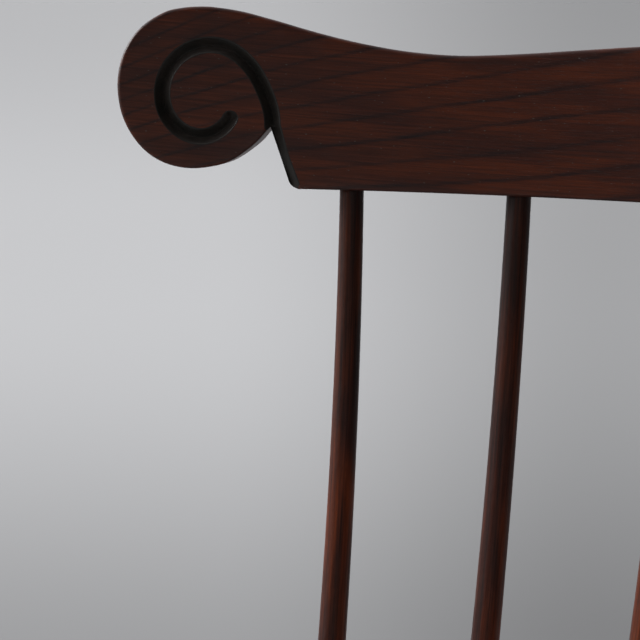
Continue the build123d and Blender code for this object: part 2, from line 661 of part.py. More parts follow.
def make_hand(side):
    """The widened hand rest at an end of the bow."""
    middle = side * ARM_HALF_WIDTH
    widest = ARM_WRIST_Y - HAND_WIDEST
    with BuildPart() as hand:
        with BuildSketch(ARM_PLANE.offset(-ARM_THICKNESS / 2)):
            with BuildLine():
                for way in SIDES.values():
                    wrist, palm = middle + way * ARM_WIDTH / 2, middle + way * HAND_HALF_WIDTH
                    Spline((wrist, ARM_WRIST_Y), (palm, widest), tangents=((0, -1), (0, -1)))
                ThreePointArc((middle - HAND_HALF_WIDTH, widest), (middle, widest - HAND_HALF_WIDTH),
                              (middle + HAND_HALF_WIDTH, widest))
                Line((middle - ARM_WIDTH / 2, ARM_WRIST_Y), (middle + ARM_WIDTH / 2, ARM_WRIST_Y))
            make_face()
        extrude(amount=ARM_THICKNESS)
        fillet(hand.edges().filter_by(GeomType.LINE, reverse=True), ARM_EDGE_ROUND)
    return hand.part


def make_arm_bow():
    """The bent arm bow with both hand rests, bored for the spindles and posts."""
    hands = [make_hand(side) for side in SIDES.values()]
    with BuildPart() as arm:
        with BuildSketch(Plane(origin=bow.line @ 0, x_dir=ACROSS, z_dir=ARM_PLANE.y_dir)):
            RectangleRounded(ARM_WIDTH, ARM_THICKNESS, ARM_EDGE_ROUND)
        sweep(path=bow.wire())
        add(hands)
        for index in SPINDLE_INDICES:
            distance = arm_crossing(index)
            thickest = spindle_diameter(distance - ARM_THICKNESS)
            along = spindle_direction(index, distance)
            drill(spindle_point(index, distance), along, thickest, 2 * ARM_THICKNESS)
        for side in SIDES.values():
            foot, head = post_ends(side)
            drill(head, (head - foot).normalized(), POST_TENON_D, 2 * ARM_THICKNESS)
            for number in range(ARM_SPINDLE_COUNT):
                foot, head = arm_spindle_ends(side, number)
                drill(head, (head - foot).normalized(), ARM_SPINDLE_END_D, ARM_SPINDLE_TENON)
    return arm.part


write(make_arm_bow(), "arm_bow")


# Arm spindles and posts

def make_arm_spindle(side, number):
    """One short spindle with a tenon at each end."""
    foot, head = arm_spindle_ends(side, number)
    along = (head - foot).normalized()
    length = (head - foot).length
    end = ARM_SPINDLE_END_D / 2
    low, high = (end, ARM_SPINDLE_NECK), (end, length - ARM_SPINDLE_NECK)
    with BuildPart() as spindle:
        with BuildSketch(turning_plane(foot, along)):
            with BuildLine():
                Polyline(low, (end, -ARM_SPINDLE_TENON), (0, -ARM_SPINDLE_TENON),
                         (0, length + ARM_SPINDLE_TENON), (end, length + ARM_SPINDLE_TENON), high)
                Spline(low, (ARM_SPINDLE_BELLY_D / 2, ARM_SPINDLE_BELLY_RISE), high)
            make_face()
        revolve(axis=Axis(foot, along))
    return spindle.part


def make_arm_post(side):
    """One turned arm post: blind in the seat, wedged right through the hand rest."""
    foot, head = post_ends(side)
    along = (head - foot).normalized()
    length = (head - foot).length
    end, waist = POST_TENON_D / 2, POST_WAIST_D / 2
    spare = length + CARVING_ROOM
    low, high = (end, POST_NECK), (end, length - POST_NECK)
    bead_low = (waist, POST_BEAD_RISE - POST_BEAD_WIDTH / 2)
    bead_high = (waist, POST_BEAD_RISE + POST_BEAD_WIDTH / 2)
    slot = wedge_profile(post_top(side), along, GLUE_GAP)
    with BuildPart() as post:
        with BuildSketch(turning_plane(foot, along)):
            with BuildLine():
                Polyline(low, (end, -POST_SEAT_TENON), (0, -POST_SEAT_TENON), (0, spare), (end, spare),
                         high)
                Spline(low, (POST_VASE_D / 2, POST_VASE_RISE), (waist, POST_WAIST_RISE), bead_low)
                ThreePointArc(bead_low, (POST_BEAD_D / 2, POST_BEAD_RISE), bead_high)
                Spline(bead_high, (POST_SWELL_D / 2, POST_SWELL_RISE), high)
            make_face()
        revolve(axis=Axis(foot, along))
        extrude(slot, amount=POST_TENON_D, both=True, mode=Mode.SUBTRACT)
        split(bisect_by=ARM_TOP, keep=Keep.BOTTOM)
    return post.part


for name, side in SIDES.items():
    write(make_arm_post(side), f"arm_post_{name}")
    for number in range(ARM_SPINDLE_COUNT):
        write(make_arm_spindle(side, number), f"arm_spindle_{name}_{number + 1}")


# Legs

def make_leg(side, row):
    """One turned leg: a tapered tenon wedged through the seat, a foot shaped to its rocker."""
    foot, head = leg_ends(side, row)
    along = leg_axis(side, row)
    length = (head - foot).length
    joint = stretcher_joint(side, row)
    inwards = side_stretcher_axis(side) * (1 if row == "front" else -1)
    waist = LEG_WAIST_D / 2
    sole, collar = (LEG_FOOT_D / 2, 0), (LEG_COLLAR_D / 2, length - LEG_COLLAR_DROP)
    bead_low = (waist, length - LEG_BEAD_DROP - LEG_BEAD_WIDTH / 2)
    bead_high = (waist, length - LEG_BEAD_DROP + LEG_BEAD_WIDTH / 2)
    slot = wedge_profile(tenon_top(side, row), along, GLUE_GAP)
    rocker_centre = (0, ROCKER_CONTACT_Y, ROCKER_HEIGHT + ROCKER_TOP_RADIUS)
    with BuildPart() as leg:
        with BuildSketch(turning_plane(foot, along)):
            with BuildLine():
                Polyline(sole, (LEG_FOOT_D / 2, -LEG_COPE), (0, -LEG_COPE), (0, length + LEG_TENON_REACH),
                         (LEG_TENON_D / 2, length + LEG_TENON_REACH), collar)
                Spline(collar, (LEG_VASE_D / 2, length - LEG_VASE_DROP), (waist, length - LEG_WAIST_DROP),
                       bead_high)
                ThreePointArc(bead_high, (LEG_BEAD_D / 2, length - LEG_BEAD_DROP), bead_low)
                Spline(bead_low, (LEG_SWELL_D / 2, (joint - foot).length), sole)
            make_face()
        revolve(axis=Axis(foot, along))
        with Locations(Plane(origin=rocker_centre, z_dir=ACROSS).location):
            Cylinder(ROCKER_TOP_RADIUS - GLUE_GAP, 4 * ROCKER_SPREAD, mode=Mode.INTERSECT)
        with Locations(Plane(origin=foot + along * LEG_COPE, z_dir=-along).location):
            Cylinder(FOOT_TENON_D / 2, LEG_COPE + FOOT_TENON, align=FROM_BASE)
        drill(leg_pin(side, row), ACROSS, PIN_D, ROCKER_THICKNESS)
        drill(joint + inwards * (LEG_SWELL_D / 2), -inwards, STRETCHER_TENON_D, STRETCHER_TENON)
        extrude(slot, amount=LEG_COLLAR_D, both=True, mode=Mode.SUBTRACT)
        split(bisect_by=SEAT_PLANE, keep=Keep.BOTTOM)
        add(SADDLE, mode=Mode.SUBTRACT)
    return leg.part


for name, side in SIDES.items():
    for row in LEG_ROWS:
        write(make_leg(side, row), f"leg_{row}_{name}")


# Stretchers

def make_stretcher(start, end, socket=None):
    """A turned stretcher between the ends of its tenons, with a socket for another where one meets it."""
    along = (end - start).normalized()
    length = (end - start).length
    tip, base = STRETCHER_TENON_D / 2, STRETCHER_BASE_D / 2
    neck = STRETCHER_TENON + STRETCHER_NECK
    half_bead = STRETCHER_BEAD_WIDTH / 2
    beads = [length / 2 - STRETCHER_BEAD_OFFSET, length / 2 + STRETCHER_BEAD_OFFSET]
    sides = [[(base, bead - half_bead), (base, bead + half_bead)] for bead in beads]
    with BuildPart() as stretcher:
        with BuildSketch(turning_plane(start, along)):
            with BuildLine():
                Polyline(sides[0][0], (tip, neck), (tip, 0), (0, 0), (0, length), (tip, length),
                         (tip, length - neck), sides[1][1])
                for bead, (low, high) in zip(beads, sides):
                    ThreePointArc(low, (STRETCHER_BEAD_D / 2, bead), high)
                Spline(sides[0][1], (STRETCHER_BELLY_D / 2, length / 2), sides[1][0])
            make_face()
        revolve(axis=Axis(start, along))
        if socket:
            drill(*socket, STRETCHER_TENON_D, STRETCHER_TENON)
    return stretcher.part


for name, side in SIDES.items():
    along = side_stretcher_axis(side)
    reach = LEG_SWELL_D / 2 - STRETCHER_TENON
    front = stretcher_joint(side, "front") + along * reach
    back = stretcher_joint(side, "back") - along * reach
    cheek = side_stretcher_middle(side) - ACROSS * (side * STRETCHER_BELLY_D / 2)
    write(make_stretcher(front, back, (cheek, ACROSS * side)), f"side_stretcher_{name}")

reach = ACROSS * (STRETCHER_BELLY_D / 2 - STRETCHER_TENON)
left, right = side_stretcher_middle(SIDES["left"]), side_stretcher_middle(SIDES["right"])
write(make_stretcher(left + reach, right - reach), "cross_stretcher")


# Rockers

def make_rocker(side):
    """One rocker, bored for the feet of its two legs and for their pins."""
    front, back = -ROCKER_HALF_LENGTH, ROCKER_HALF_LENGTH
    with BuildPart() as rocker:
        with BuildSketch(MIDDLE.offset(side * ROCKER_SPREAD)) as outline:
            with BuildLine():
                below = ThreePointArc((front, rocker_underside(front)), (ROCKER_CONTACT_Y, 0),
                                      (back, rocker_underside(back)))
                above = ThreePointArc((front, rocker_top(front)), (ROCKER_CONTACT_Y, ROCKER_HEIGHT),
                                      (back, rocker_top(back)))
                Line(below @ 0, above @ 0)
                Line(below @ 1, above @ 1)
            make_face()
            fillet(outline.vertices(), ROCKER_TIP_ROUND)
        extrude(amount=ROCKER_THICKNESS / 2, both=True)
        fillet(rocker.faces().filter_by(Axis.X).edges(), ROCKER_EDGE_ROUND)
        for row in LEG_ROWS:
            drill(leg_ends(side, row)[0], -leg_axis(side, row), FOOT_TENON_D, FOOT_TENON)
            drill(leg_pin(side, row), ACROSS, PIN_D, ROCKER_THICKNESS)
    return rocker.part


for name, side in SIDES.items():
    write(make_rocker(side), f"rocker_{name}")


# Wedges and pins

def make_leg_wedge(side, row):
    """A wedge in the top of a leg's tenon, trimmed to the tenon and the saddle."""
    profile = wedge_profile(tenon_top(side, row), leg_axis(side, row))
    with BuildPart() as wedge:
        extrude(profile, amount=LEG_COLLAR_D, both=True)
        with Locations(leg_tenon_place(side, row)):
            Cone(LEG_COLLAR_D / 2, LEG_TENON_D / 2, LEG_TAPER, align=FROM_BASE, mode=Mode.INTERSECT)
        split(bisect_by=SEAT_PLANE, keep=Keep.BOTTOM)
        add(SADDLE, mode=Mode.SUBTRACT)
    return wedge.part


def make_post_wedge(side):
    """A wedge in the top of an arm post's tenon, trimmed to the tenon and the hand rest."""
    foot, head = post_ends(side)
    along = (head - foot).normalized()
    profile = wedge_profile(post_top(side), along)
    with BuildPart() as wedge:
        extrude(profile, amount=POST_TENON_D, both=True)
        with Locations(Plane(origin=head, z_dir=along).location):
            Cylinder(POST_TENON_D / 2, CARVING_ROOM, align=FROM_BASE, mode=Mode.INTERSECT)
        split(bisect_by=ARM_TOP, keep=Keep.BOTTOM)
    return wedge.part


leg_wedge_parts = [make_leg_wedge(*leg) for leg in LEGS]
with BuildPart() as leg_wedges:
    add(leg_wedge_parts)
write(leg_wedges.part, "leg_wedges")

post_wedge_parts = [make_post_wedge(side) for side in SIDES.values()]
with BuildPart() as post_wedges:
    add(post_wedge_parts)
write(post_wedges.part, "post_wedges")

with BuildPart() as rocker_pins:
    for leg in LEGS:
        with Locations(Plane(origin=leg_pin(*leg), z_dir=ACROSS).location):
            Cylinder(PIN_D / 2, ROCKER_THICKNESS)
write(rocker_pins.part, "rocker_pins")
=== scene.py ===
"""Looks of the Windsor rocking chair: a close view of its crest rail's end, as photographed."""

import json
import math

import bmesh
import bpy
import numpy as np
from mathutils import Matrix, Vector
from mathutils.geometry import delaunay_2d_cdt

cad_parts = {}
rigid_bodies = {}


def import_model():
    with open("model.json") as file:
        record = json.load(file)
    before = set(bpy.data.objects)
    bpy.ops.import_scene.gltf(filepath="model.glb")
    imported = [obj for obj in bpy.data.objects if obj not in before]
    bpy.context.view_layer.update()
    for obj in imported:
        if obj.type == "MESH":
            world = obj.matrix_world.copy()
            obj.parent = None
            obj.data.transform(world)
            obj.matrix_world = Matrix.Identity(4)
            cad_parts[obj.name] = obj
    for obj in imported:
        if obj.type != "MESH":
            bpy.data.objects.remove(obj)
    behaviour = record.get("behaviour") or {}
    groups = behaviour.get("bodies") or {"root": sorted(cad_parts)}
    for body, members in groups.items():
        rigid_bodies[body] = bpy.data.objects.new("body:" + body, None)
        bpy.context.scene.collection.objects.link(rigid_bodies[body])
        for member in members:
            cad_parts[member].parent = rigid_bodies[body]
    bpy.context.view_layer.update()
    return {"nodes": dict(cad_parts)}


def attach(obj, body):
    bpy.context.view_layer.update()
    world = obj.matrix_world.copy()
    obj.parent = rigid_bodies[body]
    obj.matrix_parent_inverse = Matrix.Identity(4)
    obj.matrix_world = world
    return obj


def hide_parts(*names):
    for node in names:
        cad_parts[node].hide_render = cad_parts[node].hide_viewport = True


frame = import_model()
scene = bpy.context.scene

# Camera, fitted to the photograph's outline
CAMERA_PLACE = Vector((0.1716, -0.4065, 1.0813))
CAMERA_AZIMUTH = math.radians(26.72)
CAMERA_ELEVATION = math.radians(11.91)
CAMERA_LENS = 85.0
RIGHTWARD = (math.cos(CAMERA_AZIMUTH), math.sin(CAMERA_AZIMUTH), 0)
AHEAD = (-math.sin(CAMERA_AZIMUTH), math.cos(CAMERA_AZIMUTH), 0)

# Floor, which is also the background, with painted shade: lighter on the left, dimmer to the right,
# near and far; and the sky where it ends
FLOOR_REACH = 20000.0
FLOOR_LIGHT = (0.68, 0.68, 0.683, 1)
FLOOR_DIM = (0.432, 0.432, 0.434, 1)
FLOOR_BOUNCE = (0.25, 0.25, 0.25, 1)
FLOOR_ROUGHNESS = 0.9
HORIZON_LIGHT = (0.495, 0.50, 0.51, 1)
HORIZON_DIM = (0.312, 0.315, 0.322, 1)
SIDE_SPAN = (-0.08, 0.20)   # it dims to the right between these shares of the way ahead,
SIDE_START = (0.4, 2.6)     # which sets in between these distances ahead, in metres
NEAR_FALL = (0.19, 0.49)    # the near floor dims between these slopes of the view down to it,
NEAR_START = (0.0, 2.3)     # which sets in between these distances
NEAR_DIM = 0.44
FAR_FALL = (0.14, 0.0)      # the far floor dims between these slopes
FAR_DIM = 0.15

# The room's light: where it is bright and dim, and its paler parts in front of the chair,
# with their direction, the cosines of where each starts and is full, and its strength
SKY_SIDE = Vector((-0.80, 0.40, 0.45))
SKY_SPAN = (0.0, 0.8)
SKY_BRIGHT = (0.85, 0.86, 0.90, 1)
SKY_DIM = (0.06, 0.06, 0.06, 1)
PATCHES = [((0.17, -0.98, 0.05), 0.95, 0.99, 0.60), ((0.44, -0.83, 0.34), 0.88, 0.99, 0.29)]

# Lamps
KEY_ENERGY = 2.6
KEY_ANGLE = math.radians(32)
KEY_DIRECTION = Vector((0.86, 0.06, -0.50))
WINDOW_ENERGY = 7.0
WINDOW_SIZE = 1.2
WINDOW_PLACE = Vector((-2.2, -2.1, 2.3))
WINDOW_AIM = Vector((-0.1, 0.25, 0.75))

# Crest rail: a board bent to an arc and tilted back, in millimetres;
# s runs along its face, v up it and d into it
CREST_ORIGIN = np.array([0.0, 343.7116, 982.1340])
CREST_TILT = math.radians(13.0)
CREST_UP = np.array([0.0, math.sin(CREST_TILT), math.cos(CREST_TILT)])
CREST_FORWARD = np.array([0.0, -math.cos(CREST_TILT), math.sin(CREST_TILT)])
CREST_RADIUS = 700.0
CREST_THICKNESS = 20.0
CREST_ROUND = 1.3           # worn round of its edges
CREST_TOP_ROUND = 1.5       # by how much more the top is rounded
CREST_END_ROUND = 0.7       # share of that at the end of the scroll
CREST_DRAFT = 0.03          # the wall leans in towards the back
CREST_UNDERCUT = 0.13       # by how much more it leans in below
CREST_TOP = [
    (0.0, 80.0), (-30.0, 79.2), (-62.0, 76.5), (-92.1, 73.5), (-118.4, 71.3), (-131.8, 70.8),
    (-145.3, 71.0), (-158.9, 71.8), (-172.7, 73.3), (-186.5, 75.2), (-200.4, 77.6), (-214.4, 80.4),
    (-224.5, 82.6),
]
SCROLL_CENTRE = (-268.1, 44.5)
SCROLL_REACH = [            # distance of the edge from the centre, by turn
    (50, 52.3), (60, 48.3), (70, 45.6), (80, 44.0), (90, 43.3), (105, 43.2), (120, 43.9),
    (140, 44.2), (160, 43.9), (180, 43.4), (200, 43.5), (218, 44.2), (236, 45.2), (252, 45.6),
    (268, 45.4), (284, 45.1), (300, 45.4), (320, 45.4),
]
NOTCH_APEX = (-225.6, 25.6)
NOTCH_FOOT = (-211.2, -6.2)
NOTCH_ROUND = 4.2
BOTTOM_RISE = -0.05
BOTTOM_BOW = 1.548e-4

# The crest's mesh: steps along its edges, rows round them and points over its faces
OUTLINE_STEP = 1.4
SLANT_POINTS = 34
CORNER_SHARES = (0.2, 0.4, 0.6, 0.8)
BOTTOM_POINTS = 86
MIDDLE_POINTS = 18
EDGE_TURNS = np.radians([0, 18, 36, 54, 72, 90])
WALL_SHARES = (0.12, 0.3, 0.5, 0.7, 0.88)
GRID_STEP = 5.0
GRID_FROM_EDGE = 2.5
GRID_FROM_GROOVE = 7.5
ROWS_FROM_EDGE = 0.45
MERGE_DISTANCE = 4e-6       # in metres
SHARP_ANGLE = math.radians(38)

# Volute: a groove with a V-shaped section along the notch that winds into the scroll,
# by turn about its eye and distance
EYE = (-262.0, 40.0)
WINDING = [
    (-20, 40.2), (8, 31.8), (40, 28.0), (84, 27.0), (130, 25.6), (178, 24.3), (225, 24.0),
    (266, 23.4), (298, 20.8), (320, 18.7),
]
WINDING_STEP = 2.0
GROOVE_STEP = 1.0
GROOVE_REACH = 4.15         # half the groove's width
PAINT_REACH = 4.55          # half the width of the black finish, which laps over the groove's lips
GROOVE_DEPTH = 4.2
GROOVE_SOFT = 0.3           # round at its bottom
GROOVE_START = 9.0          # how far below the foot of the notch it starts
COVE_INSET = np.array([1.3, 0.0])   # at the foot of the notch it runs this far inside the edge
GROOVE_ROWS = (             # rows of points beside its centre line
    0.4, 0.9, 1.7, 2.6, 3.4, GROOVE_REACH - 0.03, GROOVE_REACH + 0.12, PAINT_REACH,
    GROOVE_REACH + 1.0, GROOVE_REACH + 2.0,
)

# Growth rings of the crest, in millimetres of its face
RING_S, RING_V = -209.0, 26.6       # a place on one of them
RING_PERIOD = 11.7
RING_SLOPE = 0.156
RING_CURVE = 0.00115                # left of that place they get steeper
RING_SPREAD, SPREAD_REACH = 0.0022, 170     # right of it they lie further apart
RING_DEPTH = 0.035                  # rings per millimetre into the board

# Seat plank and arm bow, in the seat's tilted plane, in millimetres
SEAT_ORIGIN = np.array([0.0, -45.0, 409.0])
SEAT_TILT = math.radians(5.0)
SEAT_UP = np.array([0.0, math.sin(SEAT_TILT), math.cos(SEAT_TILT)])
SEAT_BACKWARD = np.array([0.0, math.cos(SEAT_TILT), -math.sin(SEAT_TILT)])
BOARD_WIDTH = 0.118         # boards of the seat, in metres
BOARD_RINGS = 0.0085        # and the distance of their growth rings
SAT_CENTRE = (0, -0.03, 0)
SAT_SIZE = (0.20, 0.19)
ARM_RISE = 245.0            # seat's top to the middle of the bow
BOW_STEP = 4.0
BOW_SIDE = [(272.0, -190.0), (272.0, -100.0), (272.0, -20.0), (272.0, 55.0)]
BOW_REACH = [               # centre line behind them, by turn
    (15, 280.8), (20, 286.8), (25, 289.7), (30, 292.0), (35, 293.0), (40, 292.6), (45, 290.8),
    (50, 288.3), (55, 283.2), (60, 277.7), (65, 272.7), (75, 265.3), (80, 263.7), (90, 261.9),
]
BOW_PITH = (35, 70)         # how far beside and below the centre line its rings have their middle
BOW_RINGS = 6.5
HAND_REACH = 130            # the finish is worn this far from the ends

# Colours of the wood
BASE = (0.050, 0.0120, 0.0066, 1)
WARM = (0.097, 0.0196, 0.0062, 1)
LINE = (0.0130, 0.0064, 0.0066, 1)
WORN = (0.155, 0.0400, 0.0150, 1)
DUST = (0.12, 0.100, 0.085, 1)
BLACK = (0.0120, 0.0108, 0.0088, 1)
BLACK_THIN = (0.0210, 0.0158, 0.0125, 1)
# paler black on facets that face up and left: dust, and painted light from the upper left
BLACK_DUST_AND_LIT = (0.038, 0.031, 0.027, 1)
DUST_AND_LIGHT_SIDE = (-0.40, 0.0, 0.92)
GLOSS = 0.26
SPINDLE_LOOK = dict(
    base=(0.047, 0.0115, 0.0063, 1), warm=(0.150, 0.0290, 0.0070, 1),
    line=(0.015, 0.0072, 0.0060, 1), roughness=0.43, line_strength=0.6, contrast=1.6, gloss=0.20)
TURNED_LOOK = dict(base=(0.060, 0.0146, 0.0080, 1), warm=(0.122, 0.0250, 0.0082, 1))
WEDGE_LOOK = dict(period=0.003, base=WARM, warm=WORN)
SPINDLE_SHADOW = (0.985, 0.79)      # heights between which painted shade under the crest goes from dark to plain
SHADOW_TONE = 0.34

# Patterns of the wood: features per metre, along the grain and across it
RING_WANDER = (9, 38, 38)
RING_RIPPLE = (55, 260, 260)
RING_STRENGTH = (16, 70, 70)
RING_DASHES = (85, 1100, 1100)
FIBRES = (14, 800, 800)
STREAKS = (40, 2300, 2300)
PORES = (170, 2900, 2900)
STAIN = (11, 62, 62)
RUBBING = (18, 120, 120)
SPECKS = (480, 1150, 1150)
RING_PROFILE = (            # how dark a growth ring is, from one to the next
    (0.0, 0.04), (0.32, 0.06), (0.42, 0.32), (0.48, 1.0), (0.55, 0.9), (0.63, 0.25), (0.8, 0.05),
)
WANDER_RINGS = 0.18         # by how many rings they wander
RIPPLE_RINGS = 0.06
MOST = (0.25, 0.75)         # between these lies most of a noise
FIBRE_CONTRAST = 0.45
STREAK_CONTRAST = 0.25
BUMP_HEIGHT = 0.0002        # in metres


def make_camera():
    """The camera looks at the crest's left end from right of the chair's middle, a little down."""
    back = Vector((
        math.sin(CAMERA_AZIMUTH) * math.cos(CAMERA_ELEVATION),
        -math.cos(CAMERA_AZIMUTH) * math.cos(CAMERA_ELEVATION),
        math.sin(CAMERA_ELEVATION),
    ))
    right = Vector(RIGHTWARD)
    data = bpy.data.cameras.new("camera")
    data.lens = CAMERA_LENS
    camera = bpy.data.objects.new("camera", data)
    axes = Matrix((right, back.cross(right), back)).transposed()
    camera.matrix_world = Matrix.Translation(CAMERA_PLACE) @ axes.to_4x4()
    scene.collection.objects.link(camera)
    scene.camera = camera


# Node trees


class Shade:
    """The nodes of a material or a world.

    Inputs are given in order, as numbers or as other nodes' outputs.
    """

    def __init__(self, owner):
        owner.use_nodes = True
        self.owner = owner
        self.tree = owner.node_tree
        self.shader = self.tree.nodes.get("Principled BSDF")

    def put(self, socket, value):
        if isinstance(value, bpy.types.NodeSocket):
            self.tree.links.new(value, socket)
        elif value is not None:
            socket.default_value = value

    def surface(self, name, value):
        """Sets an input of the material's shader."""
        self.put(self.shader.inputs[name], value)

    def make(self, kind, *inputs, output=0, **settings):
        item = self.tree.nodes.new("ShaderNode" + kind)
        for key, value in settings.items():
            setattr(item, key, value)
        for socket, value in zip(item.inputs, inputs):
            self.put(socket, value)
        return item.outputs[output]

    def math(self, operation, *inputs):
        return self.make("Math", *inputs, operation=operation)

    def vector(self, operation, *inputs):
        output = "Value" if operation in ("DOT_PRODUCT", "LENGTH") else "Vector"
        return self.make("VectorMath", *inputs, operation=operation, output=output)

    def scale(self, vector, factor):
        """A vector or colour times a number."""
        item = self.tree.nodes.new("ShaderNodeVectorMath")
        item.operation = "SCALE"
        self.put(item.inputs["Vector"], vector)
        self.put(item.inputs["Scale"], factor)
        return item.outputs["Vector"]

    def split(self, vector):
        item = self.tree.nodes.new("ShaderNodeSeparateXYZ")
        self.put(item.inputs["Vector"], vector)
        return tuple(item.outputs)

    def noise(self, place, stretch, detail=2.0, roughness=0.55):
        """Noise with as many features per metre along each axis as stretch says, from 0 to 1."""
        item = self.tree.nodes.new("ShaderNodeTexNoise")
        self.put(item.inputs["Vector"], self.vector("MULTIPLY", place, stretch))
        item.inputs["Scale"].default_value = 1.0
        item.inputs["Detail"].default_value = detail
        item.inputs["Roughness"].default_value = roughness
        return item.outputs["Fac"]

    def range(self, value, low, high, to_low=0.0, to_high=1.0, smooth=False):
        item = self.tree.nodes.new("ShaderNodeMapRange")
        item.interpolation_type = "SMOOTHSTEP" if smooth else "LINEAR"
        for socket, number in zip(item.inputs, (value, low, high, to_low, to_high)):
            self.put(socket, number)
        return item.outputs["Result"]

    def ramp(self, value, *stops):
        """A number read off a smooth curve through (place, height) stops."""
        item = self.tree.nodes.new("ShaderNodeValToRGB")
        item.color_ramp.interpolation = "EASE"
        elements = item.color_ramp.elements
        while len(elements) < len(stops):
            elements.new(0.5)
        for element, (place, height) in zip(elements, stops):
            element.position = place
            element.color = (height, height, height, 1)
        self.put(item.inputs["Fac"], value)
        return item.outputs["Color"]

    def mix(self, factor, first, second):
        """A colour between two others."""
        item = self.tree.nodes.new("ShaderNodeMix")
        item.data_type = "RGBA"
        self.put(item.inputs[0], factor)
        self.put(item.inputs[6], first)
        self.put(item.inputs[7], second)
        return item.outputs[2]

    def stored(self, name, output):
        """What keep_values stored in the mesh, as a Vector or, for single numbers, as a Fac."""
        return self.make("Attribute", attribute_name=name, output=output)

    def own_place(self, origin, rotation):
        """The place in a frame of the piece's own."""
        item = self.tree.nodes.new("ShaderNodeMapping")
        item.vector_type = "TEXTURE"
        self.put(item.inputs["Vector"], self.make("TexCoord", output="Object"))
        item.inputs["Location"].default_value = origin
        item.inputs["Rotation"].default_value = rotation
        return item.outputs["Vector"]

    def bump(self, height, strength, normal=None):
        """Fine relief of the material's surface."""
        item = self.tree.nodes.new("ShaderNodeBump")
        item.inputs["Strength"].default_value = strength
        item.inputs["Distance"].default_value = BUMP_HEIGHT
        self.put(item.inputs["Height"], height)
        self.put(item.inputs["Normal"], normal)
        self.surface("Normal", item.outputs["Normal"])


def vertex_places(mesh):
    place = np.empty(3 * len(mesh.vertices))
    mesh.vertices.foreach_get("co", place)
    return place.reshape(-1, 3)


def keep_values(mesh, name, values):
    """Stores a number or a vector at each vertex, for the materials."""
    kind, key = ("FLOAT", "value") if values.ndim == 1 else ("FLOAT_VECTOR", "vector")
    mesh.attributes.new(name, kind, "POINT").data.foreach_set(key, values.ravel())


# Wood


def growth_lines(shade, place, ring):
    """How dark the growth rings are: lines that wander, fade and break up into dashes."""
    wander = shade.noise(place, RING_WANDER, 1.0)
    ripple = shade.noise(place, RING_RIPPLE, 1.0)
    phase = shade.math("ADD", ring, shade.range(wander, 0, 1, -WANDER_RINGS, WANDER_RINGS))
    phase = shade.math("ADD", phase, shade.range(ripple, 0, 1, -RIPPLE_RINGS, RIPPLE_RINGS))
    growth = shade.ramp(shade.math("FRACT", phase), *RING_PROFILE)
    strength = shade.range(shade.noise(place, RING_STRENGTH, 1.0), 0.3, 0.7, 0.5, 1.0)
    dash = shade.range(shade.noise(place, RING_DASHES), 0.36, 0.58, 0.68, 1.1)
    return shade.math("MULTIPLY", shade.math("MULTIPLY", growth, strength), dash)


def dress_wood(shade, place, ring, base=BASE, warm=WARM, line=LINE, roughness=0.36,
               line_strength=0.9, contrast=1.0, gloss=GLOSS, soft=0.0, worn=None, tone=None,
               seam=None, dust=0.0):
    """Stained and lacquered wood; place has its first axis along the grain, ring counts the rings.

    Soft is the round that its edges are shaded with, in metres, where they are rubbed paler too.
    Worn, tone and seam are how worn the finish is, how light the board is and where boards meet,
    if these differ over the piece; on the back spindles tone is painted shade under the crest. Dust
    is how pale the specks in its pores are.
    """
    growth = growth_lines(shade, place, ring)
    fibre = shade.noise(place, FIBRES, 3.0, 0.6)
    streak = shade.noise(place, STREAKS)
    pore = shade.range(shade.noise(place, PORES, 1.0), 0.64, 0.76)
    stain = shade.range(shade.noise(place, STAIN), 0.36, 0.64, smooth=True)
    normal = None
    if soft:
        bevel = shade.tree.nodes.new("ShaderNodeBevel")
        bevel.inputs["Radius"].default_value = soft
        normal = bevel.outputs["Normal"]
        flat = shade.make("NewGeometry", output="Normal")
        edge = shade.range(shade.vector("DOT_PRODUCT", normal, flat), 0.995, 0.90)
        patchy = shade.range(shade.noise(place, RUBBING, 3.0), 0.35, 0.65, 0.15, 0.7)
        rubbed = shade.math("MULTIPLY", edge, patchy)
        worn = shade.math("MAXIMUM", rubbed, worn) if worn else rubbed
    colour = shade.mix(stain, base, warm)
    colour = shade.mix(shade.math("MULTIPLY", growth, line_strength), colour, line)
    rough = shade.range(fibre, *MOST, roughness + 0.06, roughness - 0.06)
    if worn:
        colour = shade.mix(worn, colour, WORN)
        rough = shade.math("MULTIPLY_ADD", worn, -0.05, rough)
    change = FIBRE_CONTRAST * contrast
    light = shade.range(fibre, *MOST, 1 - change, 1 + change)
    change = STREAK_CONTRAST * contrast
    light = shade.math("MULTIPLY", light, shade.range(streak, *MOST, 1 - change, 1 + change))
    light = shade.math("MULTIPLY", light, shade.range(pore, 0, 1, 1.0, 0.5))
    if tone:
        light = shade.math("MULTIPLY", light, tone)
    if seam:
        light = shade.math("MULTIPLY", light, shade.range(seam, 0, 1, 1.0, 0.35))
    colour = shade.scale(colour, light)
    if dust:
        speck = shade.range(shade.noise(place, SPECKS, 0.0), 0.80, 0.85, 0.0, dust)
        colour = shade.mix(speck, colour, DUST)
    shade.surface("Base Color", colour)
    shade.surface("Roughness", shade.math("MULTIPLY_ADD", pore, 0.15, rough))
    shade.surface("Specular IOR Level", gloss)
    height = shade.math("MULTIPLY_ADD", fibre, 0.6, shade.math("MULTIPLY", streak, 0.3))
    height = shade.math("MULTIPLY_ADD", pore, -0.5, height)
    height = shade.math("MULTIPLY_ADD", growth, -0.3, height)
    if seam:
        height = shade.math("MULTIPLY_ADD", seam, -0.8, height)
    shade.bump(height, 0.55, normal)
    return shade.owner


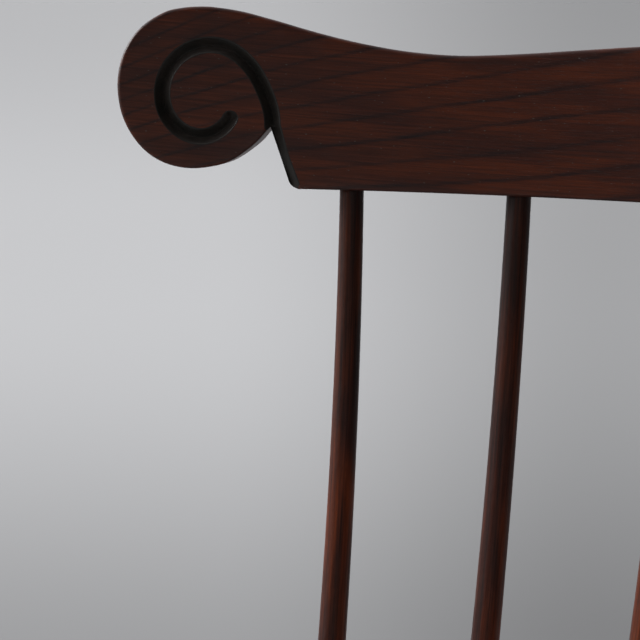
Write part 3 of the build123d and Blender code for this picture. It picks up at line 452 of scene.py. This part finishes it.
def black_finish():
    """The carved line is filled with black stain, thin in streaks, and paler where it faces up and
    left: dust, and painted light from that side.
    """
    shade = Shade(bpy.data.materials.new("crest_groove_black"))
    place = shade.stored("grain", "Vector")
    streak = shade.noise(place, (60, 900, 900))
    wear = shade.range(shade.noise(place, (90, 90, 90)), 0.45, 0.7)
    colour = shade.mix(wear, BLACK, BLACK_THIN)
    # painted light, with dust: facets that face up and to the left get a paler black
    normal = shade.make("NewGeometry", output="Normal")
    dust_and_lit = shade.range(shade.vector("DOT_PRODUCT", normal, DUST_AND_LIGHT_SIDE), 0.05, 0.60)
    colour = shade.mix(dust_and_lit, colour, BLACK_DUST_AND_LIT)
    shade.surface("Base Color", shade.scale(colour, shade.range(streak, 0.3, 0.7, 0.7, 1.3)))
    shade.surface("Roughness", shade.range(streak, 0.3, 0.7, 0.42, 0.54))
    shade.surface("Specular IOR Level", GLOSS)
    shade.bump(streak, 0.3)
    return shade.owner


# Crest rail


def curve_through(points, step):
    """Points about a step apart on a smooth curve through the given ones."""
    knots = np.array(points, float)
    ends = np.vstack([2 * knots[0] - knots[1], knots, 2 * knots[-1] - knots[-2]])
    line = [knots[0]]
    for before, start, end, after in zip(ends, ends[1:], ends[2:], ends[3:]):
        square = 2 * before - 5 * start + 4 * end - after
        cubic = 3 * start - before - 3 * end + after
        count = max(1, int(np.linalg.norm(end - start) / step))
        for t in np.arange(1, count + 1) / count:
            line.append(0.5 * (2 * start + (end - before) * t + square * t ** 2 + cubic * t ** 3))
    return np.array(line)


def around(centre, turn, reach):
    """The point at a turn about a centre, in degrees, and a distance from it."""
    turn = math.radians(turn)
    return (centre[0] + reach * math.cos(turn), centre[1] + reach * math.sin(turn))


def bottom_height(s):
    return BOTTOM_RISE - BOTTOM_BOW * s * s


def notch_side():
    """The apex and the foot of the notch, the direction from one to the other and the distance."""
    apex, foot = np.array(NOTCH_APEX), np.array(NOTCH_FOOT)
    length = np.linalg.norm(foot - apex)
    return apex, foot, (foot - apex) / length, length


def crest_outline():
    """Outline of the left half, from mid-top round the scroll to the middle of the bottom."""
    apex, foot, down, length = notch_side()
    edge = CREST_TOP + [around(SCROLL_CENTRE, *place) for place in SCROLL_REACH] + [NOTCH_APEX]
    top = curve_through(edge, OUTLINE_STEP)[:-1]
    slant = [apex + down * reach for reach in np.linspace(0, length - NOTCH_ROUND, SLANT_POINTS)]
    start, end = slant[-1], foot + np.array([NOTCH_ROUND, 0])
    corner = [(1 - t) ** 2 * start + 2 * t * (1 - t) * foot + t * t * end for t in CORNER_SHARES]
    bottom = [(s, bottom_height(s)) for s in np.linspace(end[0], 0.0, BOTTOM_POINTS)]
    return np.array(list(top) + slant + corner + bottom)


def groove_path():
    """Centre line of the groove, from below the foot of the notch to its end in the scroll."""
    apex, foot, down, _ = notch_side()
    spiral = [around(EYE, *place) for place in curve_through(WINDING, WINDING_STEP)]
    knots = [
        foot + down * GROOVE_START + COVE_INSET,
        foot + COVE_INSET,
        (apex + foot + COVE_INSET) / 2,
        spiral[0],
    ]
    return np.array(list(curve_through(knots, GROOVE_STEP))[:-1] + spiral)


def path_distance(points, path):
    """Distance of each point from a path of short straight runs."""
    best = np.full(len(points), np.inf)
    for start, end in zip(path, path[1:]):
        run = end - start
        share = np.clip(((points - start) @ run) / (run @ run), 0, 1)
        best = np.minimum(best, np.linalg.norm(points - start - share[:, None] * run, axis=1))
    return best


def groove_depth(points, path):
    away = path_distance(np.asarray(points, float), path)
    slope = math.hypot(GROOVE_DEPTH, GROOVE_SOFT) - GROOVE_SOFT
    rise = (np.hypot(away / GROOVE_REACH * GROOVE_DEPTH, GROOVE_SOFT) - GROOVE_SOFT) / slope
    return np.maximum(GROOVE_DEPTH * (1 - rise), 0)


def bend(s, v, d):
    """Places of points of the flat board once it is bent, in metres."""
    turn = s / CREST_RADIUS
    reach = CREST_RADIUS + d
    place = np.outer(reach * np.sin(turn), (1, 0, 0)) + np.outer(v, CREST_UP)
    sagitta = np.outer(CREST_RADIUS - reach * np.cos(turn), CREST_FORWARD)
    return (place + sagitta + CREST_ORIGIN) / 1000


def unbend(places):
    """The s, v and d of places on the bent board."""
    place = places * 1000 - CREST_ORIGIN
    depth_axis = CREST_RADIUS - place @ CREST_FORWARD
    s = CREST_RADIUS * np.arctan2(place[:, 0], depth_axis)
    d = np.hypot(place[:, 0], depth_axis) - CREST_RADIUS
    return s, place @ CREST_UP, d


def ring_count(s, v, d):
    """Growth rings of the board: they rise to the right, steeper and closer towards the scroll."""
    t = s - RING_S
    soft = SPREAD_REACH * np.tanh(t / SPREAD_REACH)
    left = np.minimum(t, 0)
    rest = (v + RING_CURVE * left ** 2 - RING_SLOPE * t) / (1 + RING_SPREAD * soft)
    return (rest - RING_V) / RING_PERIOD + RING_DEPTH * d + 0.5


def crest_rows(outline, path):
    """Rows of the wall round the board, from the front face's edge to the back face's."""
    ahead = np.roll(outline, -1, axis=0) - np.roll(outline, 1, axis=0)
    ahead[0] = (-1, 0)
    ahead[-1] = (1, 0)
    inward = np.stack([-ahead[:, 1], ahead[:, 0]], axis=1)
    inward /= np.linalg.norm(ahead, axis=1)[:, None]
    end = CREST_END_ROUND * np.clip(inward[:, 0], 0, 1)
    rounding = CREST_ROUND + CREST_TOP_ROUND * np.maximum(np.clip(-inward[:, 1], 0, 1), end)
    lean = CREST_DRAFT + CREST_UNDERCUT * np.clip(inward[:, 1], 0, 1) ** 1.3
    rows = []
    for turn in EDGE_TURNS:
        place = outline + inward * (rounding * (1 - math.sin(turn)))[:, None]
        depth = np.maximum(rounding * (1 - math.cos(turn)), groove_depth(place, path))
        rows.append((place, depth))
    edge = rows[-1][1]
    last = CREST_THICKNESS - CREST_ROUND
    for share in WALL_SHARES:
        depth = edge + (last - edge) * share
        rows.append((outline + inward * (lean * (depth - edge))[:, None], depth))
    back = outline + inward * (lean * (last - edge))[:, None]
    for turn in EDGE_TURNS[::-1]:
        place = back + inward * CREST_ROUND * (1 - math.sin(turn))
        depth = CREST_THICKNESS - CREST_ROUND * (1 - math.cos(turn))
        rows.append((place, np.full(len(outline), depth)))
    return rows


def fill_face(edge, extra):
    """Triangles over a flat outline and the points inside it."""
    middle = [(0.0, v) for v in np.linspace(edge[-1][1], edge[0][1], MIDDLE_POINTS)[1:-1]]
    ring = [Vector(p) for p in edge] + [Vector(p) for p in middle]
    points = ring + [Vector(p) for p in extra]
    flat, _, faces, *_ = delaunay_2d_cdt(points, [], [list(range(len(ring)))], 1, 1e-4)
    return np.array([tuple(p) for p in flat]), faces


def inside(points, loop):
    """Whether each point is inside a closed loop."""
    x, y = points[:, 0], points[:, 1]
    hit = np.zeros(len(points), bool)
    for (ax, ay), (bx, by) in zip(loop, np.roll(loop, -1, axis=0)):
        if ay != by:
            cross = (ay > y) != (by > y)
            hit ^= cross & (x < (bx - ax) * (y - ay) / (by - ay) + ax)
    return hit


def face_points(edge, path, grooved):
    """Points inside a face: a grid, and rows along the groove for its narrow bottom and lips."""
    loop = np.vstack([edge, [[0.0, edge[-1][1]]]])
    s, v = np.meshgrid(np.arange(-312, -2, GRID_STEP), np.arange(-8, 90, GRID_STEP))
    s += np.where(np.arange(len(s)) % 2, GRID_STEP / 2, 0)[:, None]
    grid = np.stack([s.ravel(), v.ravel()], axis=1)
    grid = grid[(grid[:, 0] < -3) & inside(grid, loop)]
    grid = grid[path_distance(grid, edge) > GRID_FROM_EDGE]
    if not grooved:
        return grid
    grid = grid[path_distance(grid, path) > GRID_FROM_GROOVE]
    heading = np.gradient(path, axis=0)
    side = np.stack([-heading[:, 1], heading[:, 0]], axis=1)
    side /= np.linalg.norm(heading, axis=1)[:, None]
    rows = [grid]
    for away in (0, *GROOVE_ROWS):
        for sign in (-1, 1):
            row = path + side * away * sign
            rows.append(row[np.abs(path_distance(row, path) - away) < 0.02])
    end = path[-1]
    ahead = math.atan2(*(path[-1] - path[-2])[::-1])
    for away in GROOVE_ROWS:
        turns = ahead + np.radians(np.linspace(-80, 80, max(5, int(3 * away))))
        rows.append(end + away * np.stack([np.cos(turns), np.sin(turns)], axis=1))
    points = np.vstack(rows)
    points = points[inside(points, loop)]
    return points[path_distance(points, edge) > ROWS_FROM_EDGE]


def crest_mesh(path):
    """The board's wall and its two faces, bent, and mirrored about the chair's middle."""
    outline = crest_outline()
    rows = crest_rows(outline, path)
    count = len(outline)
    flat = [np.column_stack(row) for row in rows]
    faces = []
    for row in range(len(rows) - 1):
        for i in range(count - 1):
            a = row * count + i
            faces.append((a, a + 1, a + count + 1, a + count))
    base = len(rows) * count
    for front in (True, False):
        edge = rows[0][0] if front else rows[-1][0]
        points, cells = fill_face(edge, face_points(edge, path, front))
        depth = groove_depth(points, path) if front else np.full(len(points), CREST_THICKNESS)
        flat.append(np.column_stack([points, depth]))
        for cell in cells:
            cell = [base + k for k in cell]
            faces.append(tuple(cell if front else cell[::-1]))
        base += len(points)
    left = bend(*np.vstack(flat).T)
    right = left * (-1, 1, 1)
    faces += [tuple(base + k for k in face[::-1]) for face in faces]
    mesh = bpy.data.meshes.new("crest_board")
    mesh.from_pydata(np.vstack([left, right]).tolist(), [], faces)
    build = bmesh.new()
    build.from_mesh(mesh)
    bmesh.ops.remove_doubles(build, verts=build.verts, dist=MERGE_DISTANCE)
    bmesh.ops.recalc_face_normals(build, faces=build.faces)
    build.to_mesh(mesh)
    build.free()
    mesh.shade_smooth()
    mesh.set_sharp_from_angle(angle=SHARP_ANGLE)
    return mesh


def make_crest():
    """The crest rail with its carved volutes."""
    path = groove_path()
    mesh = crest_mesh(path)
    s, v, d = unbend(vertex_places(mesh))
    keep_values(mesh, "grain", np.column_stack([s, v, d]) / 1000)
    keep_values(mesh, "ring", ring_count(s, v, d))
    away = path_distance(np.column_stack([-np.abs(s), v]), path)
    painted = (away < PAINT_REACH + 0.05) & (d < GROOVE_DEPTH + 0.9)
    piece = bpy.data.objects.new("crest_board", mesh)
    scene.collection.objects.link(piece)
    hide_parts("crest_rail")
    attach(piece, "root")
    shade = Shade(bpy.data.materials.new("crest_wood_stained"))
    grain, ring = shade.stored("grain", "Vector"), shade.stored("ring", "Fac")
    mesh.materials.append(dress_wood(shade, grain, ring, dust=0.7))
    mesh.materials.append(black_finish())
    slots = [int(painted[list(cell.vertices)].all()) for cell in mesh.polygons]
    mesh.polygons.foreach_set("material_index", slots)


# The other pieces, which keep their CAD shape


def dress_straight(name, period=0.005, tilt=0.02, seed=0, shadowed=None, **look):
    """Wood whose grain follows a long piece's own axis, fitted to its mesh with the bend it has.

    Between the heights in shadowed, painted shade under the crest goes from dark to plain.
    """
    mesh = bpy.data.objects[name].data
    place = vertex_places(mesh)
    centre = (place.max(0) + place.min(0)) / 2
    some = (place - centre)[:: max(1, len(place) // 4000)]
    _, _, axes = np.linalg.svd(some, full_matrices=False)
    if np.linalg.det(axes) < 0:
        axes[2] *= -1
    local = (place - centre) @ axes.T
    shade = Shade(bpy.data.materials.new(name + "_wood"))
    rotation = Matrix(axes.tolist()).transposed().to_euler()
    x, *sides = shade.split(shade.own_place(centre, rotation))
    across = []
    for k, side in enumerate(sides, 1):
        cubic, square, slope, level = (float(c) for c in np.polyfit(local[:, 0], local[:, k], 3))
        offset = shade.math("MULTIPLY_ADD", x, cubic, square)
        offset = shade.math("MULTIPLY_ADD", x, offset, slope)
        offset = shade.math("MULTIPLY_ADD", x, offset, level)
        across.append(shade.math("SUBTRACT", side, offset))
    turn = 2.4 * seed
    shifted = shade.make("CombineXYZ", shade.math("ADD", x, 0.7 * seed), *across)
    pith = (0.0, 0.07 * math.cos(turn), 0.07 * math.sin(turn))
    arm = shade.vector("ADD", shade.vector("MULTIPLY", shifted, (0, 1, 1)), pith)
    arm = shade.vector("ADD", arm, shade.scale((0, tilt, tilt), x))
    ring = shade.math("DIVIDE", shade.vector("LENGTH", arm), period)
    if shadowed:
        # painted shade: the colour darkens towards the top, where the crest shades the spindle
        height = shade.make("SeparateXYZ", shade.make("TexCoord", output="Object"), output="Z")
        look["tone"] = shade.range(height, *shadowed, SHADOW_TONE, 1.0, smooth=True)
    mesh.materials[0] = dress_wood(shade, shifted, ring, **look)


def dress_block(name, turn, period, seed, **look):
    """Wood whose grain runs along one of the chair's own directions."""
    shade = Shade(bpy.data.materials.new(name + "_wood"))
    shifted = shade.own_place((0.13 * seed, -0.31 * seed, 0.0), turn)
    arm = shade.vector("MULTIPLY", shifted, (0, 1, 1))
    arm = shade.vector("ADD", arm, (0.0, 0.05, 0.16))
    ring = shade.math("DIVIDE", shade.vector("LENGTH", arm), period)
    bpy.data.objects[name].data.materials[0] = dress_wood(shade, shifted, ring, **look)


def along_path(points, path):
    """How far along a path each point is, how far beside it, and the path's length."""
    best = np.full(len(points), np.inf)
    travel, across = np.zeros(len(points)), np.zeros(len(points))
    gone = 0.0
    for start, end in zip(path, path[1:]):
        run = end - start
        length = np.linalg.norm(run)
        share = np.clip(((points - start) @ run) / length ** 2, 0, 1)
        off = points - start - share[:, None] * run
        away = np.linalg.norm(off, axis=1)
        near = away < best
        best[near] = away[near]
        travel[near] = gone + share[near] * length
        across[near] = ((run[0] * off[:, 1] - run[1] * off[:, 0]) / length)[near]
        gone += length
    return travel, across, gone


def make_bow():
    """The arm bow, a copy of the node with the grain bent along its centre line."""
    mesh = bpy.data.objects["arm_bow"].data.copy()
    mesh.name = "arm_bow_bent"
    place = vertex_places(mesh) * 1000 - SEAT_ORIGIN - ARM_RISE * SEAT_UP
    flat = np.column_stack([place[:, 0], place @ SEAT_BACKWARD])
    half = curve_through(BOW_SIDE + [around((0, 0), *knot) for knot in BOW_REACH], BOW_STEP)
    travel, across, whole = along_path(flat, np.vstack([half * (-1, 1), half[-2::-1]]))
    level = place @ SEAT_UP
    keep_values(mesh, "grain", np.column_stack([travel, across, level]) / 1000)
    beside, below = BOW_PITH
    rings = np.hypot(across + beside + 0.02 * travel, level + below) / BOW_RINGS
    keep_values(mesh, "ring", rings)
    ends = np.minimum(travel, whole - travel)
    hand = np.clip(1.2 - ends / HAND_REACH, 0, 1) * np.clip(0.55 + level / 24, 0, 1)
    keep_values(mesh, "hand", hand)
    shade = Shade(bpy.data.materials.new("arm_bow_wood"))
    grain, ring = shade.stored("grain", "Vector"), shade.stored("ring", "Fac")
    patchy = shade.range(shade.noise(grain, (14, 60, 60), 3.0), 0.3, 0.7, 0.15, 0.6)
    worn = shade.math("MULTIPLY", shade.stored("hand", "Fac"), patchy)
    mesh.materials.clear()
    mesh.materials.append(dress_wood(shade, grain, ring, soft=0.002, worn=worn))
    piece = bpy.data.objects.new("arm_bow_bent", mesh)
    scene.collection.objects.link(piece)
    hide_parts("arm_bow")
    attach(piece, "root")


def dress_seat():
    """A plank glued up from boards that run front to back, burnished where people sit."""
    shade = Shade(bpy.data.materials.new("seat_wood"))
    place = shade.own_place(SEAT_ORIGIN / 1000, (-SEAT_TILT, 0, 0))
    across, along, level = shade.split(place)
    count = shade.math("DIVIDE", shade.math("ADD", across, 0.5 * BOARD_WIDTH), BOARD_WIDTH)
    board = shade.math("FLOOR", count)
    in_board = shade.math("FRACT", count)
    chance = shade.make(
        "TexWhiteNoise", None, shade.math("ADD", board, 3.5), output="Color", noise_dimensions="1D")
    dice = shade.tree.nodes.new("ShaderNodeSeparateColor")
    shade.put(dice.inputs[0], chance)
    shift, sink, shine = dice.outputs
    travel = shade.math("MULTIPLY_ADD", board, 1.37, along)
    shifted = shade.make("CombineXYZ", travel, across, level)
    middle = shade.math("SUBTRACT", in_board, shade.range(shift, 0, 1, 0.15, 0.85))
    middle = shade.math("MULTIPLY", middle, BOARD_WIDTH)
    deep = shade.math("MULTIPLY_ADD", along, 0.06, level)
    deep = shade.math("ADD", deep, shade.range(sink, 0, 1, 0.05, 0.11))
    ring = shade.vector("LENGTH", shade.make("CombineXYZ", middle, deep, 0.0))
    ring = shade.math("MULTIPLY_ADD", board, 0.37, shade.math("DIVIDE", ring, BOARD_RINGS))
    tone = shade.range(shine, 0, 1, 0.82, 1.2)
    edge = shade.math("ABSOLUTE", shade.math("SUBTRACT", in_board, 0.5))
    seam = shade.range(edge, 0.5 - 0.0006 / BOARD_WIDTH, 0.5 - 0.0001 / BOARD_WIDTH)
    centre = shade.vector("SUBTRACT", place, SAT_CENTRE)
    centre = shade.vector("MULTIPLY", centre, (1 / SAT_SIZE[0], 1 / SAT_SIZE[1], 0))
    sat = shade.range(shade.vector("LENGTH", centre), 1.0, 0.35, smooth=True)
    patchy = shade.range(shade.noise(shifted, (10, 45, 45), 3.0), 0.3, 0.7, 0.1, 0.5)
    worn = shade.math("MULTIPLY", sat, patchy)
    bpy.data.objects["seat"].data.materials[0] = dress_wood(
        shade, shifted, ring, soft=0.0035, worn=worn, tone=tone, seam=seam)


def dress_nodes():
    turned = ("arm_post", "leg_front", "leg_back", "side_stretcher", "cross_stretcher")
    for seed, name in enumerate(sorted(frame["nodes"]), 2):
        if name.startswith("back_spindle"):
            dress_straight(name, seed=seed, shadowed=SPINDLE_SHADOW, **SPINDLE_LOOK)
        elif name.startswith("arm_spindle"):
            dress_straight(name, seed=seed, **SPINDLE_LOOK)
        elif name.startswith(turned):
            dress_straight(name, period=0.006, seed=seed, **TURNED_LOOK)
        elif name in ("rocker_left", "rocker_right"):
            dress_straight(name, period=0.0075, tilt=0.035, seed=seed, soft=0.002)
        elif name in ("leg_wedges", "post_wedges"):
            dress_block(name, (0, math.radians(90), 0), seed=seed, **WEDGE_LOOK)
        elif name == "rocker_pins":
            dress_block(name, (0, 0, 0), seed=seed, **WEDGE_LOOK)


# Stage and light


def side_share(shade, spot, least):
    """How far to the right of the photographed side a place or direction is, from 0 to 1."""
    side = shade.vector("DOT_PRODUCT", spot, RIGHTWARD)
    away = shade.math("MAXIMUM", shade.vector("DOT_PRODUCT", spot, AHEAD), least)
    return shade.range(shade.math("DIVIDE", side, away), *SIDE_SPAN, smooth=True)


def make_stage():
    """A pale floor that reaches the horizon, with painted shade that dims it to the right, near and
    far.
    """
    mesh = bpy.data.meshes.new("floor")
    signs = ((-1, -1), (1, -1), (1, 1), (-1, 1))
    corners = [(x * FLOOR_REACH, y * FLOOR_REACH, 0) for x, y in signs]
    mesh.from_pydata(corners, [], [(0, 1, 2, 3)])
    floor = bpy.data.objects.new("floor", mesh)
    shade = Shade(bpy.data.materials.new("floor"))
    below = (CAMERA_PLACE.x, CAMERA_PLACE.y, 0)
    spot = shade.vector("SUBTRACT", shade.make("TexCoord", output="Object"), below)
    away = shade.vector("DOT_PRODUCT", spot, AHEAD)
    # painted shade: the floor's colour dims to the right, and near and far from the camera's place
    share = side_share(shade, spot, 1.0)
    share = shade.math("MULTIPLY", share, shade.range(away, *SIDE_START, smooth=True))
    fall = shade.math("DIVIDE", CAMERA_PLACE.z, shade.math("MAXIMUM", away, 0.5))
    near = shade.range(fall, *NEAR_FALL, 0.0, NEAR_DIM, smooth=True)
    near = shade.math("MULTIPLY", near, shade.range(away, *NEAR_START, smooth=True))
    far = shade.range(fall, *FAR_FALL, 0.0, FAR_DIM, smooth=True)
    level = shade.math("SUBTRACT", shade.math("SUBTRACT", 1.0, near), far)
    colour = shade.scale(shade.mix(share, FLOOR_LIGHT, FLOOR_DIM), level)
    path = shade.tree.nodes.new("ShaderNodeLightPath")
    seen = shade.math("MAXIMUM", path.outputs["Is Camera Ray"], path.outputs["Is Glossy Ray"])
    shade.surface("Base Color", shade.mix(seen, FLOOR_BOUNCE, colour))
    shade.surface("Roughness", FLOOR_ROUGHNESS)
    shade.surface("Specular IOR Level", 0.0)
    mesh.materials.append(shade.owner)
    scene.collection.objects.link(floor)


def make_lamp(name, kind, energy, direction):
    data = bpy.data.lights.new(name, kind)
    data.energy = energy
    lamp = bpy.data.objects.new(name, data)
    lamp.rotation_euler = direction.to_track_quat("-Z", "Y").to_euler()
    scene.collection.objects.link(lamp)
    return lamp


def make_light():
    """Soft daylight from the left, in a room that is bright behind the chair and dim before it."""
    key = make_lamp("key", "SUN", KEY_ENERGY, KEY_DIRECTION)
    key.data.angle = KEY_ANGLE
    window = make_lamp("window", "AREA", WINDOW_ENERGY, WINDOW_AIM - WINDOW_PLACE)
    window.location = WINDOW_PLACE
    window.data.shape = "RECTANGLE"
    window.data.size = window.data.size_y = WINDOW_SIZE
    shade = Shade(bpy.data.worlds.new("room"))
    look = shade.make("TexCoord")
    sky = shade.vector("DOT_PRODUCT", look, SKY_SIDE.normalized())
    sky = shade.mix(shade.range(sky, *SKY_SPAN, smooth=True), SKY_DIM, SKY_BRIGHT)
    for direction, start, full, strength in PATCHES:
        near = shade.vector("DOT_PRODUCT", look, Vector(direction).normalized())
        sky = shade.vector("ADD", sky, shade.range(near, start, full, 0.0, strength, smooth=True))
    ahead = shade.range(shade.vector("DOT_PRODUCT", look, AHEAD), 0.0, 0.6, smooth=True)
    share = shade.math("MULTIPLY", ahead, side_share(shade, look, 0.1))
    horizon = shade.mix(share, HORIZON_LIGHT, HORIZON_DIM)
    path = shade.tree.nodes.new("ShaderNodeLightPath")
    colour = shade.mix(path.outputs["Is Camera Ray"], sky, horizon)
    shade.put(shade.tree.nodes["Background"].inputs["Color"], colour)
    scene.world = shade.owner


make_camera()
make_crest()
make_bow()
dress_seat()
dress_nodes()
make_stage()
make_light()
scene.view_settings.view_transform = "Standard"
